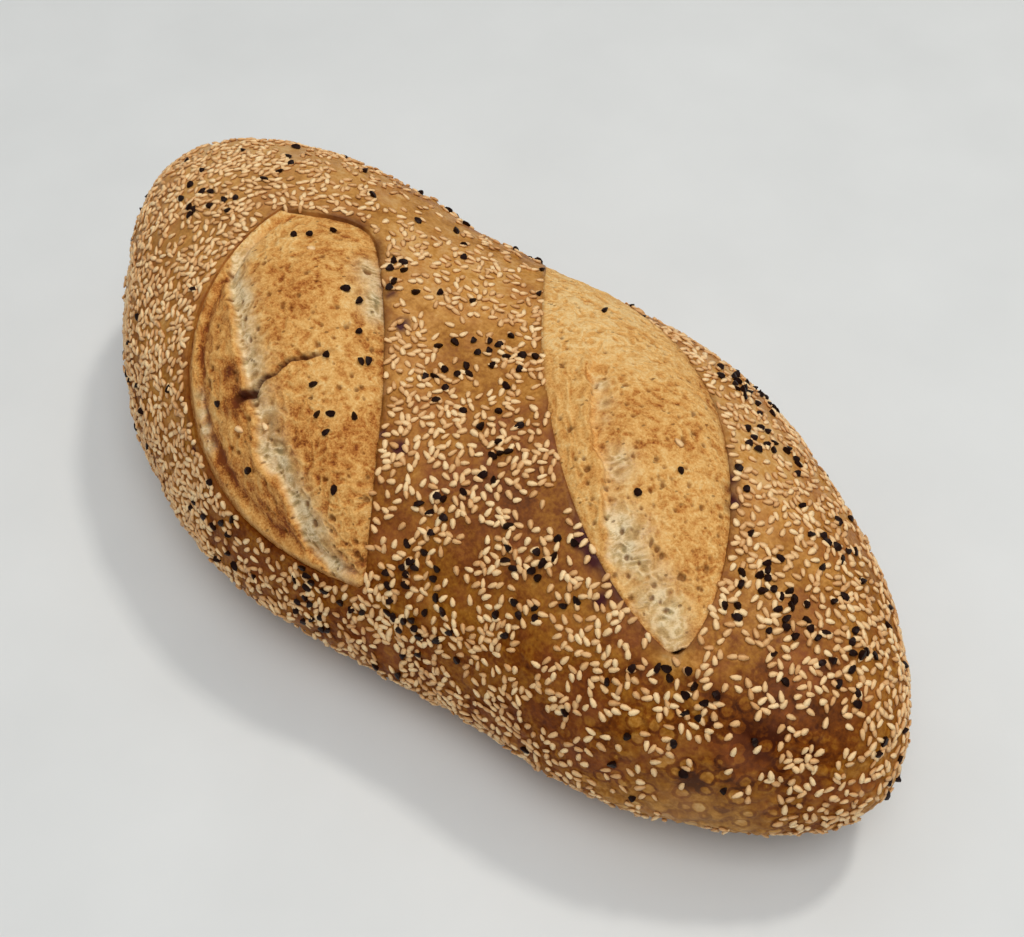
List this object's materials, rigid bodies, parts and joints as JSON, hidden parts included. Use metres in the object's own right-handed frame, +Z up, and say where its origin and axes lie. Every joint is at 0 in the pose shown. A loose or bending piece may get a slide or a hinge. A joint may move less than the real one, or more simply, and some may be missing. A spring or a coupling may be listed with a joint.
{
  "type": "onion sourdough bread",
  "caption": "Long hearth-baked sourdough loaf with slanting open slashes, burst crumb and a seeded crust; rests on its flat base.",
  "frame": {"origin": "on the flat base, under the middle of the loaf's box", "axes": "+X along the loaf, +Y across it, +Z up out of its seeded back"},
  "size_m": [0.2682, 0.1354, 0.0846],
  "materials": {
    "crust": "baked bread crust, golden brown, half gloss with small blisters",
    "crumb": "torn sourdough crumb, toasted, matt and finely porous",
    "sesame": "baked white sesame seed, smooth, low sheen",
    "nigella": "black onion seed, dull and finely wrinkled"
  },
  "bodies": {
    "root": {"loaf": "crust"}
  },
  "joints": []
}
